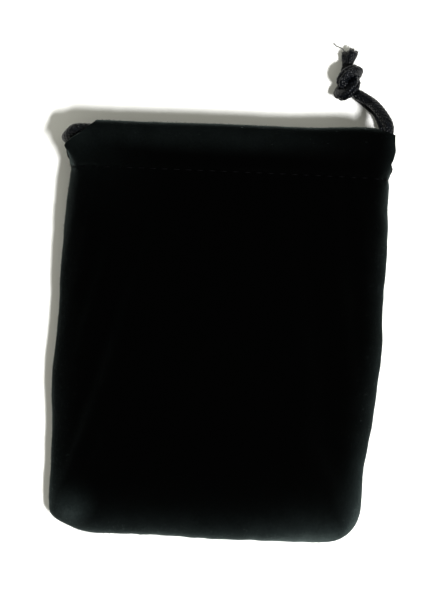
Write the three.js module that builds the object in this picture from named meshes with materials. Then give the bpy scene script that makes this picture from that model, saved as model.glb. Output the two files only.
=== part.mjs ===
// Drawstring dice bag: a small flat velvet pouch, lying on its back panel.
// Millimetres, +Z up. +Y points to the mouth, +X to the side where the drawcord leaves.
// The origin is under the middle of the bag, on the surface that it lies on.
import * as THREE from "three";
import { mergeVertices } from "three/addons/utils/BufferGeometryUtils.js";

// Driving dimensions
const HEIGHT = 90; // bottom seam to the top fold of the mouth
const HALF_WIDTH = 34.5; // at the corners of the bag
const SIDE_BULGE = 0.6; // how far the sides swell at mid height
const WIDEN = 0.4; // how much wider each side lies at the mouth than at mid height
const SHIFT = 0.4; // the body of the bag lies this far to +X of the hems' middle
const LEAN = 0.7; // how far the mouth's end lies over to +X
const CLOTH = 0.7; // velvet's thickness
const CORD = 2.2; // drawcord's diameter
const EASE = 0.3; // room round the cord, and between neighbouring pieces
const HEM = 10; // height of the turned-over hem that the cord runs in
const MOUTH_GAP = 4.4; // between the two hems where the mouth lies ajar
const BODY_TOP = 9.2; // height of the front panel over the middle of the bag
const SEAM_LOW = 2.5; // height of the side seam at the bottom of the bag
const SEAM_HIGH = 5.6; // and at the mouth
const ALLOWANCE = 4; // width of the seam allowance turned inside
const THREAD = 0.4; // sewing thread's diameter

// Worked out from them
const BOTTOM = -HEIGHT / 2;
const TOP = HEIGHT / 2;
const CORD_R = CORD / 2;
const BORE_R = CORD_R + EASE;
const HEM_R = BORE_R + CLOTH;
const BACK_CORD_Z = HEM_R;
const FRONT_CORD_Z = 3 * HEM_R + MOUTH_GAP;
const CORD_Y = TOP - HEM_R;
const STITCH_Y = TOP - HEM;
const SEAM_SPLIT = EASE / 2; // half the gap between the two panels' rims
const PANEL_END = STITCH_Y - 0.4; // the panels stop short of the hem stitch
const HEM_START = STITCH_Y + 0.5; // and the hems start after it
const CAVITY_LOW = CORD_Y - 4.4; // lowest line that the cord can lie on in the hem

// Each bottom corner is a quarter of an ellipse: its reach across the bag, and up its side
const LEFT_CORNER = [9, 5];
const RIGHT_CORNER = [7, 8];

// The bag's section is a superellipse (power 2 would be an ellipse), squarer under the hem
const BODY_POWER = 4;
const HEM_POWER = 12;
const POWER_RISE = [50, 79]; // above the bottom seam, it goes from one to the other between these
const TURN = 12; // height over which the panels turn in to the bottom seam
const TURN_POWER = 2.5;
const PEAK = 1.05; // the section's top is cut off flat just below its peak

const VELVET = { color: 0x0b0c0c, roughness: 0.95, metalness: 0 };
const INSIDE = { color: 0x141515, roughness: 1, metalness: 0 };
const BRAID = { color: 0x101114, roughness: 0.6, metalness: 0 };
const SEWING = { color: 0x0c0c0d, roughness: 0.7, metalness: 0 };

const bag = new THREE.Group();

function addMesh(name, geometry, finish) {
  const mesh = new THREE.Mesh(geometry, new THREE.MeshStandardMaterial(finish));
  mesh.name = name;
  bag.add(mesh);
  return mesh;
}

// ---------- the bag's outline, seen from above ----------

const shareOf = (value, low, high) =>
  THREE.MathUtils.clamp((value - low) / (high - low), 0, 1);
const smooth = (t) => t * t * (3 - 2 * t);

// How far an elliptical bottom corner draws a side in at y.
function cornerInset(y, across, along) {
  const q = THREE.MathUtils.clamp((BOTTOM + along - y) / along, 0, 1);
  return across * (1 - Math.sqrt(1 - q * q));
}

// The left (-1) or right (+1) edge of the bag at y: the left corner is a long, low one.
function edgeX(y, side) {
  const t = y / TOP;
  const inset = cornerInset(y, ...(side < 0 ? LEFT_CORNER : RIGHT_CORNER));
  const half = HALF_WIDTH + SIDE_BULGE * (1 - t * t) + WIDEN * t - inset;
  return side * half + SHIFT + LEAN * t;
}

const seamZ = (y) =>
  THREE.MathUtils.lerp(SEAM_LOW, SEAM_HIGH, smooth(shareOf(y, BOTTOM, TOP)));

// How full the bag is at a point: 0 on the seams, 1 in the middle. across runs from -1 to 1.
// The hem holds the mouth's end straight, so the sides turn down more sharply there.
function fullness(across, fromBottom) {
  const rise = smooth(shareOf(fromBottom, ...POWER_RISE));
  const power = BODY_POWER + (HEM_POWER - BODY_POWER) * rise;
  const sides = Math.sqrt(Math.max(0, 1 - Math.abs(across) ** power));
  const low = 1 - shareOf(fromBottom, 0, TURN);
  return Math.min(1, PEAK * sides * Math.sqrt(Math.max(0, 1 - low ** TURN_POWER)));
}

// ---------- closed solids from rows of points ----------

// A closed shell between two grids of points that have the same rows and columns.
function shell(outer, inner) {
  const rows = outer.length;
  const columns = outer[0].length;
  const position = [...outer.flat(), ...inner.flat()].flatMap((p) => [...p]);
  const at = (row, column, layer) => layer * rows * columns + row * columns + column;
  const index = [];
  const quad = (a, b, c, d) => index.push(a, b, c, a, c, d);
  for (let r = 0; r < rows - 1; r++)
    for (let c = 0; c < columns - 1; c++) {
      quad(at(r, c, 0), at(r, c + 1, 0), at(r + 1, c + 1, 0), at(r + 1, c, 0));
      quad(at(r, c, 1), at(r + 1, c, 1), at(r + 1, c + 1, 1), at(r, c + 1, 1));
    }
  for (let c = 0; c < columns - 1; c++) {
    quad(at(0, c, 0), at(0, c, 1), at(0, c + 1, 1), at(0, c + 1, 0));
    const last = rows - 1;
    quad(at(last, c, 0), at(last, c + 1, 0), at(last, c + 1, 1), at(last, c, 1));
  }
  for (let r = 0; r < rows - 1; r++) {
    quad(at(r, 0, 0), at(r + 1, 0, 0), at(r + 1, 0, 1), at(r, 0, 1));
    const last = columns - 1;
    quad(at(r, last, 0), at(r, last, 1), at(r + 1, last, 1), at(r + 1, last, 0));
  }
  return fromIndex(position, index);
}

// A closed solid through a list of rings that have the same number of points.
function loft(rings) {
  const count = rings[0].length;
  const position = rings.flat().flatMap((p) => [...p]);
  const index = [];
  rings.slice(1).forEach((_, k) => {
    for (let i = 0; i < count; i++) {
      const j = (i + 1) % count;
      const [a, b] = [k * count + i, k * count + j];
      index.push(a, b, b + count, a, b + count, a + count);
    }
  });
  const end = (rings.length - 1) * count;
  for (let i = 1; i < count - 1; i++) {
    index.push(0, i + 1, i);
    index.push(end, end + i, end + i + 1);
  }
  return fromIndex(position, index);
}

function fromIndex(position, index) {
  const geometry = new THREE.BufferGeometry();
  geometry.setAttribute("position", new THREE.Float32BufferAttribute(position, 3));
  geometry.setIndex(index);
  geometry.computeVertexNormals();
  return geometry;
}

// ---------- panels ----------

const PANEL_COLUMNS = 26;
// Rows lie closer together where the bottom of the bag turns in.
const PANEL_ROWS = [0, 0.3, 0.9, 1.8, 3, 4.6, 6.6, 9, 12, 17, 25, 35, 46, 57, 67, 74];

const RIM_SHARE = 0.3; // the inner face's rows below its rim keep this share of their spacing

const panelRows = () => [...PANEL_ROWS.map((up) => BOTTOM + up), PANEL_END];

// One face of a panel. inset is how far its rim lies inside the bag's outline.
function panelFace(inset, heightAt) {
  return panelRows().map((y) => {
    const inner = Math.max(y, BOTTOM + inset);
    const left = edgeX(inner, -1) + inset;
    const right = edgeX(inner, 1) - inset;
    return Array.from({ length: PANEL_COLUMNS + 1 }, (_, c) => {
      const across = -Math.cos((Math.PI * c) / PANEL_COLUMNS);
      const x = (left + right) / 2 + (across * (right - left)) / 2;
      const full = fullness(across, y - BOTTOM);
      return new THREE.Vector3(x, inner + (y - inner) * RIM_SHARE, heightAt(y, full));
    });
  });
}

// Height of the front panel's face over the fullest part of row y.
const frontTop = (y) =>
  THREE.MathUtils.lerp(BODY_TOP, FRONT_CORD_Z, smooth(shareOf(y, 0, STITCH_Y)));

function frontPanel() {
  const height = (sunk) => (y, full) => {
    const rim = seamZ(y) + SEAM_SPLIT;
    return rim + (frontTop(y) - sunk - rim) * full;
  };
  return shell(panelFace(0, height(0)), panelFace(CLOTH, height(CLOTH)));
}

function backPanel() {
  const height = (raised) => (y, full) => {
    const rim = seamZ(y) - SEAM_SPLIT;
    return rim + (raised - rim) * full;
  };
  return shell(panelFace(CLOTH, height(CLOTH)), panelFace(0, height(0)));
}

// ---------- hems that the cord runs in ----------

// The hem's section: a flat oval that the cord lies in, drawn in to a thin edge at the stitch line.
function hemOutline(radius, edgeY, edgeHalf) {
  const outline = new THREE.Shape();
  outline.moveTo(edgeY, -edgeHalf);
  outline.lineTo(CAVITY_LOW, -radius);
  outline.lineTo(CORD_Y, -radius);
  outline.absarc(CORD_Y, 0, radius, -Math.PI / 2, Math.PI / 2, false);
  outline.lineTo(CAVITY_LOW, radius);
  outline.lineTo(edgeY, edgeHalf);
  outline.closePath();
  return outline;
}

const BORE_EDGE = 0.15; // half the height of the space in the hem, beside the stitches

// Each hem's ends slant: the cord turns round the left one and climbs out of the right one.
const LEFT_OVERHANG = 0.1; // past the bag's side
const LEFT_CUT = { from: 38.4, slope: 0.95 };
const RIGHT_OVERHANG = 1.3; // past the middle of the cord where it leaves
const RIGHT_CUT = { from: 41, slope: 1.2 };

const cutBack = (y, { from, slope }) => slope * Math.max(0, y - from);
const hemLeft = (y) => edgeX(STITCH_Y, -1) - LEFT_OVERHANG + cutBack(y, LEFT_CUT);
const hemRight = (y, exitX) => exitX + RIGHT_OVERHANG - cutBack(y, RIGHT_CUT);

function hem(cordZ, exitX) {
  const section = hemOutline(HEM_R, HEM_START, CLOTH);
  section.holes.push(hemOutline(BORE_R, HEM_START + CLOTH, BORE_EDGE));
  const geometry = new THREE.ExtrudeGeometry(section, {
    depth: 1,
    steps: 1,
    curveSegments: 8,
    bevelEnabled: false,
  });
  // The section was drawn in (y, z) and pushed along its own normal, which becomes x.
  const p = geometry.attributes.position;
  for (let i = 0; i < p.count; i++) {
    const [y, z, along] = [p.getX(i), p.getY(i), p.getZ(i)];
    p.setXYZ(i, along > 0.5 ? hemRight(y, exitX) : hemLeft(y), y, cordZ + z);
  }
  geometry.deleteAttribute("normal");
  geometry.deleteAttribute("uv");
  const merged = mergeVertices(geometry, 1e-4);
  merged.computeVertexNormals();
  return merged;
}

// ---------- seams ----------

// Stations along a side seam, from above its bottom corner to the foot of the hem.
const SEAM_STATIONS = 12;
const SIDE_FROM = BOTTOM + 9;
const SIDE_TO = PANEL_END - 1;
const BOTTOM_REACH = 22; // the bottom seam's, to each side
const stations = (from, to) =>
  Array.from({ length: SEAM_STATIONS + 1 }, (_, k) =>
    THREE.MathUtils.lerp(from, to, k / SEAM_STATIONS),
  );
const sideStations = () => stations(SIDE_FROM, SIDE_TO);
const bottomStations = () => stations(-BOTTOM_REACH, BOTTOM_REACH);
const ALLOWANCE_IN = 1.7; // from the bag's outline to the allowance's sewn edge
const THREAD_IN = 1.25; // from the outline to the thread beside it
const THREAD_UP = 0.1; // the thread's height over the seam's plane
const UNDER = 0.35; // the allowance's two layers, below and above the seam's plane
const OVER = 0.75;

// A seam allowance is a flat strip: four points at each station.
function sideAllowance(side) {
  const rings = sideStations().map((y) => {
    const near = edgeX(y, side) - side * ALLOWANCE_IN;
    const far = near - side * ALLOWANCE;
    const [low, high] = [seamZ(y) - UNDER, seamZ(y) + OVER];
    const ring = [
      new THREE.Vector3(near, y, low),
      new THREE.Vector3(near, y, high),
      new THREE.Vector3(far, y, high),
      new THREE.Vector3(far, y, low),
    ];
    return side < 0 ? ring : ring.reverse();
  });
  return loft(rings);
}

function bottomAllowance() {
  const near = BOTTOM + ALLOWANCE_IN;
  const [low, high] = [SEAM_LOW - UNDER, SEAM_LOW + OVER];
  const rings = bottomStations().map((x) => [
    new THREE.Vector3(x, near, low),
    new THREE.Vector3(x, near + ALLOWANCE, low),
    new THREE.Vector3(x, near + ALLOWANCE, high),
    new THREE.Vector3(x, near, high),
  ]);
  return loft(rings);
}

// A round tube along a list of points.
function tube(points, radius, sides, steps) {
  const ring = new THREE.Shape();
  ring.absarc(0, 0, radius, 0, 2 * Math.PI, false);
  const section = new THREE.Shape(ring.getPoints(sides / 2).slice(0, -1));
  const path = new THREE.CatmullRomCurve3(
    points.map((p) => new THREE.Vector3(...p)),
    false,
    "centripetal",
  );
  return new THREE.ExtrudeGeometry(section, {
    steps,
    bevelEnabled: false,
    curveSegments: 1,
    extrudePath: path,
  });
}

const threadTube = (points) => tube(points, THREAD / 2, 6, points.length * 2);

const sideThread = (side) =>
  threadTube(
    sideStations().map((y) => [edgeX(y, side) - side * THREAD_IN, y, seamZ(y) + THREAD_UP]),
  );

const bottomThread = () =>
  threadTube(bottomStations().map((x) => [x, BOTTOM + THREAD_IN, SEAM_LOW + THREAD_UP]));

// The lock stitch along the foot of a hem dips in and out of the cloth.
const STITCH_PITCH = 3.2;
const STITCH_DIP = 0.25;
const STITCH_MARGIN = 2; // from the bag's sides
function hemThread(z) {
  const left = edgeX(STITCH_Y, -1) + STITCH_MARGIN;
  const right = edgeX(STITCH_Y, 1) - STITCH_MARGIN;
  const count = Math.floor((right - left) / STITCH_PITCH);
  return threadTube(
    Array.from({ length: count + 1 }, (_, k) => [
      left + k * STITCH_PITCH,
      STITCH_Y,
      z + (k % 2 ? STITCH_DIP : -STITCH_DIP),
    ]),
  );
}

// ---------- drawcord ----------

// The two runs lie in the hems, each in its own plane. At the left a bend joins them.
const RUN_LEFT = -27.5;
const FRONT_EXIT = [34.4, 45.3, FRONT_CORD_Z];
const BACK_EXIT = [35.1, 45.2, BACK_CORD_Z];
const PIVOT_ROOM = 1.5; // the runs stop this far short of the tails, which swing here
const CORD_SIDES = 8;
const cordTube = (points, steps) => tube(points, CORD_R, CORD_SIDES, steps);

function run([exitX, exitY, z]) {
  return cordTube(
    [
      [RUN_LEFT, CORD_Y, z],
      [-8, CORD_Y, z],
      [8, CORD_Y, z],
      [exitX - 17, CORD_Y - 0.5, z],
      [exitX - 10.5, CORD_Y - 1.9, z],
      [exitX - 5.6, CORD_Y - 2.1, z],
      [exitX - 2.2, CORD_Y - 0.9, z],
      [exitX - 0.5, exitY - PIVOT_ROOM, z],
    ],
    28,
  );
}

const BEND_START = [-30.8, 42.7]; // seen from above, the bend goes out and back from here
const BEND_OUT = [-4.3, -3.4];

function leftBend() {
  const middle = (FRONT_CORD_Z + BACK_CORD_Z) / 2;
  const reach = (FRONT_CORD_Z - BACK_CORD_Z) / 2;
  const start = RUN_LEFT - EASE;
  const turn = [60, 30, 0, -30, -60].map((degrees) => {
    const a = THREE.MathUtils.degToRad(degrees);
    const out = Math.cos(a);
    const [x, y] = BEND_START.map((from, axis) => from + BEND_OUT[axis] * out);
    return [x, y, middle + reach * Math.sin(a)];
  });
  return cordTube(
    [
      [start, CORD_Y, FRONT_CORD_Z],
      [-30, CORD_Y - 0.2, FRONT_CORD_Z],
      ...turn,
      [-30, CORD_Y - 0.2, BACK_CORD_Z],
      [start, CORD_Y, BACK_CORD_Z],
    ],
    24,
  );
}

// The free tails leave the hems' right ends and meet in the knot, beside the mouth.
const FRONT_TAIL = [
  FRONT_EXIT,
  [34.2, 46.8, 10.2],
  [33.3, 48.4, 8.9],
  [31.8, 50.1, 7],
  [30.2, 51.6, 4.9],
  [28.4, 52.4, 3.3],
];
const BACK_TAIL = [
  BACK_EXIT,
  [34.9, 46.7, 2],
  [34, 48.4, 1.7],
  [32.6, 49.8, 1.4],
  [30.9, 50.9, 1.3],
  [29.1, 51.7, 1.3],
];

const KNOT_MIDDLE = [25.6, 56.1, 3.1];
const KNOT_HALF_LENGTH = 3.8;
const KNOT_RADIUS = 3;
const KNOT_BULGE = 0.8; // 1 would be an ellipsoid, and less is fuller towards its ends
const KNOT_STEPS = 12;
const KNOT_SIDES = 20;

function knot() {
  const profile = Array.from({ length: KNOT_STEPS + 1 }, (_, k) => {
    const a = (Math.PI * k) / KNOT_STEPS - Math.PI / 2;
    const round = k % KNOT_STEPS ? Math.cos(a) ** KNOT_BULGE : 0;
    return new THREE.Vector2(KNOT_RADIUS * round, KNOT_HALF_LENGTH * Math.sin(a));
  });
  return new THREE.LatheGeometry(profile, KNOT_SIDES);
}

// A cut end of the cord, standing out of the knot.
const END_LENGTH = 2.6;
const END_R = 0.75;
const END_FLARE = 1.1; // its fibres spread

function addEnd(name, aside, above) {
  const geometry = new THREE.CylinderGeometry(END_R * END_FLARE, END_R, END_LENGTH, 10, 2);
  const mesh = addMesh(name, geometry, BRAID);
  const [x, y, z] = KNOT_MIDDLE;
  mesh.position.set(x + aside, y + KNOT_HALF_LENGTH + END_LENGTH / 2, z + above);
}

// ---------- assembly ----------

addMesh("front_panel", frontPanel(), VELVET);
addMesh("back_panel", backPanel(), VELVET);
addMesh("front_hem", hem(FRONT_CORD_Z, FRONT_EXIT[0]), VELVET);
addMesh("back_hem", hem(BACK_CORD_Z, BACK_EXIT[0]), VELVET);
addMesh("left_seam_allowance", sideAllowance(-1), INSIDE);
addMesh("right_seam_allowance", sideAllowance(1), INSIDE);
addMesh("bottom_seam_allowance", bottomAllowance(), INSIDE);
addMesh("left_seam_thread", sideThread(-1), SEWING);
addMesh("right_seam_thread", sideThread(1), SEWING);
addMesh("bottom_seam_thread", bottomThread(), SEWING);
addMesh("front_hem_thread", hemThread(FRONT_CORD_Z), SEWING);
addMesh("back_hem_thread", hemThread(BACK_CORD_Z), SEWING);

addMesh("cord_front_run", run(FRONT_EXIT), BRAID);
addMesh("cord_back_run", run(BACK_EXIT), BRAID);
addMesh("cord_left_bend", leftBend(), BRAID);
addMesh("cord_front_tail", cordTube(FRONT_TAIL, 10), BRAID);
addMesh("cord_back_tail", cordTube(BACK_TAIL, 10), BRAID);

addMesh("knot", knot(), BRAID).position.set(...KNOT_MIDDLE);
addEnd("cord_front_end", -1, -0.4);
addEnd("cord_back_end", 1, -0.9);

export default bag;
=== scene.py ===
"""Drawstring dice bag: the looks of a small flat velvet pouch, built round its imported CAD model.

Everything is in metres in the CAD frame: +Y to the mouth, +X to the side where the cord leaves, +Z up.
"""

import math

import bpy
import numpy as np
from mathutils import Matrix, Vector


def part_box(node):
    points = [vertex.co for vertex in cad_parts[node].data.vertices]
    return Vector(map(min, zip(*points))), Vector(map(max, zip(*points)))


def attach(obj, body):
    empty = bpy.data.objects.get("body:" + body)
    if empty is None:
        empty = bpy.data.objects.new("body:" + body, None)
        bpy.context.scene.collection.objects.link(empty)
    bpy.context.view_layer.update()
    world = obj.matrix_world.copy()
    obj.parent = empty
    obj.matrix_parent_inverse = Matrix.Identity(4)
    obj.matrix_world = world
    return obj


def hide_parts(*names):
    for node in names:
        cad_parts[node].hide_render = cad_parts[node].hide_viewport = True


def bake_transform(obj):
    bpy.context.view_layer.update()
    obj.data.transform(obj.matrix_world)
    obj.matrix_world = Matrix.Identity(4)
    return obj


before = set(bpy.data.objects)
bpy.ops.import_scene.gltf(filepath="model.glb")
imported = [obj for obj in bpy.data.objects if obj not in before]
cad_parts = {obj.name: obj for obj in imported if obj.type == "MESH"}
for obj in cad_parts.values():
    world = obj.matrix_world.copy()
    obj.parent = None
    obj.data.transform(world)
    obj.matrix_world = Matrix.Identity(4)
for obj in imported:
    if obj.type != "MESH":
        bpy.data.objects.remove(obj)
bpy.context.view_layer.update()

MM = 0.001

# Driving sizes, as in the CAD model
CLOTH = 0.7 * MM
CORD_D = 2.2 * MM
THREAD_D = 0.4 * MM
HEM_R = 2.1 * MM  # outside of the cloth round the cord
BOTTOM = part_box("front_panel")[0].y
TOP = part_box("front_hem")[1].y
FRONT_CORD_Z = (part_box("front_hem")[0].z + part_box("front_hem")[1].z) / 2
BACK_CORD_Z = (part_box("back_hem")[0].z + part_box("back_hem")[1].z) / 2
CORD_Y = TOP - HEM_R
STITCH_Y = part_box("front_hem_thread")[0].y + THREAD_D / 2

# How the real bag lies
SKEW = 0.0175  # its left side is lower than its right
SKEW_FROM = 35 * MM
BOW_LEFT = 0.6 * MM  # its sides bow out a little, most at this height
BOW_RIGHT = 1.15 * MM
BOW_Y = 1 * MM
BOW_REACH = 23 * MM
BOW_X = 35 * MM  # from the bag's middle to its side
PUSHED = (-31 * MM, -43 * MM)  # its lower left corner is pushed in, by this much
PUSHED_BY = (0.5 * MM, 0.7 * MM)
PUSHED_REACH = 4 * MM

# ---------- camera: straight above the bag, as it was photographed ----------

VIEW_SCALE = 130.7 * MM  # height of the picture at the bag
VIEW_LEVEL = 6 * MM
VIEW_CENTRE = (-1.3 * MM, 6.7 * MM)
VIEW_ROLL = math.radians(3.5)
LENS = 100.0
SENSOR = 36.0


def add_object(name, data):
    made = bpy.data.objects.new(name, data)
    bpy.context.scene.collection.objects.link(made)
    return made


def add_camera():
    data = bpy.data.cameras.new("camera")
    data.lens = LENS
    data.sensor_fit = "VERTICAL"
    data.sensor_height = SENSOR
    data.clip_start = 0.01
    camera = add_object("camera", data)
    camera.location = (*VIEW_CENTRE, VIEW_LEVEL + VIEW_SCALE * LENS / SENSOR)
    camera.rotation_euler = (0, 0, VIEW_ROLL)
    bpy.context.scene.camera = camera


add_camera()

# ---------- helpers for curves and meshes ----------


def unit(v):
    return v / np.maximum(np.linalg.norm(v, axis=-1, keepdims=True), 1e-12)


def shares(value, low, high):
    t = np.clip((value - low) / (high - low), 0, 1)
    return t * t * (3 - 2 * t)


def bell(value, reach):
    """1 where the value is 0, and almost 0 beyond twice the reach."""
    return np.exp(-((value / reach) ** 2))


def lengths_along(path):
    return np.concatenate([[0], np.cumsum(np.linalg.norm(np.diff(path, axis=0), axis=1))])


def points_at(at, s, points):
    """The points at some lengths along a line, from its points at the lengths s."""
    return np.stack([np.interp(at, s, points[:, k]) for k in range(3)], axis=1)


def resample(path, step):
    """The same polyline with points an even distance apart."""
    s = lengths_along(path)
    return points_at(np.linspace(0, s[-1], max(2, round(s[-1] / step) + 1)), s, path)


def mixed(u, a, b, start, end):
    """The straight way from a at the start to b at the end, at each u."""
    return ((end - u) * a + (u - start) * b) / (end - start)


def smooth_curve(points, step):
    """A centripetal Catmull-Rom curve through the points, evenly sampled."""
    p = np.array(points, float)
    p = np.vstack([2 * p[0] - p[1], p, 2 * p[-1] - p[-2]])
    t = np.concatenate([[0], np.cumsum(np.sqrt(np.linalg.norm(np.diff(p, axis=0), axis=1)))])
    found = []
    for k in range(1, len(p) - 2):
        u = np.linspace(t[k], t[k + 1], 24, endpoint=False)[:, None]
        a = [mixed(u, p[i], p[i + 1], t[i], t[i + 1]) for i in (k - 1, k, k + 1)]
        b = [mixed(u, a[i], a[i + 1], t[k - 1 + i], t[k + 1 + i]) for i in (0, 1)]
        found.append(mixed(u, *b, t[k], t[k + 1]))
    return resample(np.vstack([*found, p[-2][None]]), step)


def carried_normals(path, first):
    """A normal at each point, carried along the path without twisting."""
    tangent = unit(np.gradient(path, axis=0))
    normal = np.zeros_like(path)
    last = np.array(first, float)
    for k, t in enumerate(tangent):
        last = unit(last - np.dot(last, t) * t)
        normal[k] = last
    return normal


def laid(points):
    """The points as the bag lies: a little out of square, its sides bowed and one corner pushed in."""
    x, y = points[..., 0], points[..., 1]
    bow = np.where(x > 0, BOW_RIGHT, BOW_LEFT) * bell(y - BOW_Y, BOW_REACH)
    corner = np.exp(-((x - PUSHED[0]) ** 2 + (y - PUSHED[1]) ** 2) / PUSHED_REACH**2)
    out = points.copy()
    out[..., 0] += bow * x / BOW_X + PUSHED_BY[0] * corner
    out[..., 1] += SKEW * (x - SKEW_FROM) + PUSHED_BY[1] * corner
    return out


def mesh_object(name, verts, faces, material_index=None):
    mesh = bpy.data.meshes.new(name)
    mesh.from_pydata(np.asarray(verts).tolist(), [], [list(map(int, f)) for f in faces])
    mesh.polygons.foreach_set("use_smooth", np.ones(len(mesh.polygons), bool))
    if material_index is not None:
        mesh.polygons.foreach_set("material_index", np.asarray(material_index, np.int32))
    mesh.update()
    return add_object(name, mesh)


def ring_faces(rings, sides):
    """Quads between rings of points, with one polygon as a cap at each end."""
    r, s = np.meshgrid(np.arange(rings - 1), np.arange(sides), indexing="ij")
    n = (s + 1) % sides
    quads = np.stack([r * sides + s, r * sides + n, (r + 1) * sides + n, (r + 1) * sides + s], axis=-1)
    caps = [list(range(sides))[::-1], list(range((rings - 1) * sides, rings * sides))]
    return [*quads.reshape(-1, 4).tolist(), *caps]


def ring_points(path, side, up, wide, thin, sides):
    """An ellipse of points round each point of the path, with these half axes along side and up."""
    angle = 2 * math.pi * np.arange(sides) / sides
    ring = np.cos(angle)[None, :, None] * side[:, None] * wide
    ring = ring + np.sin(angle)[None, :, None] * up[:, None] * thin
    return (path[:, None] + ring).reshape(-1, 3)


def tube_parts(path, radius, sides, normals=None):
    """Verts and faces of a round closed tube; radius is one number or one at each point."""
    tangent = unit(np.gradient(path, axis=0))
    if normals is None:
        normals = carried_normals(path, np.cross(tangent[0], [0.31, 0.17, 0.94]))
    r = np.broadcast_to(radius, len(path))[:, None, None]
    return ring_points(path, np.cross(tangent, normals), normals, r, r, sides), ring_faces(len(path), sides)


def join_parts(name, parts):
    """One object from a list of (verts, faces), each numbered from 0."""
    verts, faces, first = [], [], 0
    for part_verts, part_faces in parts:
        verts.append(part_verts)
        faces.extend([[i + first for i in face] for face in part_faces])
        first += len(part_verts)
    return mesh_object(name, np.vstack(verts), faces)


# ---------- materials and pieces ----------


class Finish:
    """A material in the making: its shader has the values given, which are the same all over."""

    def __init__(self, name, **values):
        self.material = bpy.data.materials.new(name)
        self.material.use_nodes = True
        self.tree = self.material.node_tree
        self.shader = self.tree.nodes["Principled BSDF"]
        for socket, value in values.items():
            self.shader.inputs[socket.replace("_", " ")].default_value = value
        self.where = self.node("TexCoord").outputs["Object"]

    def link(self, output, socket):
        self.tree.links.new(output, self.shader.inputs[socket])

    def node(self, kind, *values, **named):
        """A node; a number goes on its socket, and another node's output is linked to it."""
        made = self.tree.nodes.new(f"ShaderNode{kind}")
        for socket, value in [*enumerate(values), *named.items()]:
            if isinstance(value, (int, float)):
                made.inputs[socket].default_value = value
            else:
                self.tree.links.new(value, made.inputs[socket])
        return made

    def noise(self, scale, detail, roughness):
        made = self.node("TexNoise", Vector=self.where, Scale=scale, Detail=detail, Roughness=roughness)
        return made.outputs["Fac"]

    def calculate(self, operation, a, b):
        made = self.node("Math", a, b)
        made.operation = operation
        return made.outputs[0]

    def tone(self, value, stops):
        """Colours by a value; the first two stops are the ramp's own, and others go between them."""
        made = self.node("ValToRGB", Fac=value)
        ramp = made.color_ramp.elements
        for k, (position, color) in enumerate(stops):
            stop = ramp[k] if k < 2 else ramp.new(position)
            stop.position = position
            stop.color = (*color, 1)
        self.link(made.outputs["Color"], "Base Color")

    def bump(self, height, strength, distance, over=None):
        """Relief on the shader, on top of another relief if one is given."""
        made = self.node("Bump", Strength=strength, Distance=distance, Height=height)
        if over is not None:
            self.tree.links.new(over, made.inputs["Normal"])
        self.link(made.outputs["Normal"], "Normal")
        return made.outputs["Normal"]


def dress(piece, slot, *materials):
    for material in materials:
        piece.data.materials.append(material)
    return piece


# ---------- drawcord: its route ----------

# In the hems and out to the knot, the same points as in part.mjs
RUN_LEFT = -27.5 * MM
RUN_GAP = 0.3 * MM
FRONT_TAIL = np.array([
    [34.4, 45.3, 10.7],
    [34.2, 46.8, 10.2],
    [33.3, 48.4, 8.9],
    [31.8, 50.1, 7],
    [30.2, 51.6, 4.9],
    [28.4, 52.4, 3.3],
]) * MM
BACK_TAIL = np.array([
    [35.1, 45.2, 2.1],
    [34.9, 46.7, 2],
    [34, 48.4, 1.7],
    [32.6, 49.8, 1.4],
    [30.9, 50.9, 1.3],
    [29.1, 51.7, 1.3],
]) * MM
FRONT_EXIT, BACK_EXIT = FRONT_TAIL[0], BACK_TAIL[0]
TUCKED = 2  # how many points of the run the tail repeats, so that the join is hidden in the hem

# Round the bag's corner, in millimetres on plan: out from a point and back, fuller than an ellipse
BEND_FROM = (-31, 43.5)
BEND_OUT = (-3.9, -2.2)
BEND_FULL = 1.8


def run_route(cord_exit):
    x, y, z = cord_exit / MM
    level = CORD_Y / MM
    return np.array([
        [RUN_LEFT / MM, level, z],
        [-8, level, z],
        [8, level, z],
        [x - 17, level - 0.5, z],
        [x - 10.5, level - 1.9, z],
        [x - 5.6, level - 2.1, z],
        [x - 2.2, level - 0.9, z],
        [x - 0.5, y - 1.5, z],
    ]) * MM


def bend_route():
    middle = (FRONT_CORD_Z + BACK_CORD_Z) / 2 / MM
    reach = (FRONT_CORD_Z - BACK_CORD_Z) / 2 / MM
    level = CORD_Y / MM
    start = (RUN_LEFT - RUN_GAP) / MM
    turn = []
    for degrees in (60, 30, 0, -30, -60):
        a = math.radians(degrees)
        c = math.cos(a)
        turn.append([
            BEND_FROM[0] + BEND_OUT[0] * c,
            BEND_FROM[1] + BEND_OUT[1] * c + BEND_FULL * c * (1 - c),
            middle + reach * math.sin(a),
        ])
    return np.array([
        [start, level, middle + reach],
        [-30, level + 0.1, middle + reach],
        *turn,
        [-30, level + 0.1, middle - reach],
        [start, level, middle - reach],
    ]) * MM


KNOT_LOW, KNOT_HIGH = (np.array(corner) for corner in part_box("knot"))
KNOT_MIDDLE = (KNOT_LOW + KNOT_HIGH) / 2
KNOT_HALF = 4.1 * MM
KNOT_STRAND = 2.05 * MM  # both cords together, squeezed flat in the knot
PAIR_GAP = 0.52 * MM  # each squeezed cord's middle, from the middle of the pair
KNOT_LEAN = math.radians(14)  # its foot points a little towards the bag's corner
KNOT_SCALE = (1.17, 1, 1.05)
KNOT_SWELL = 0.24  # how much wider it is at its middle
KNOT_SWELL_REACH = 1.9 * MM
HEAD_ASIDE = 0.8 * MM  # its head lies over to +X
HEAD = (1.6 * MM, 4.2 * MM)

# How the loose knot is pulled tight
PULL = 0.15 * MM  # the ends' way in each round
SHRINK = 0.9994  # the chain's length after each round
EVEN_ROUNDS = 6
STIFFNESS = 0.08


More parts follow.
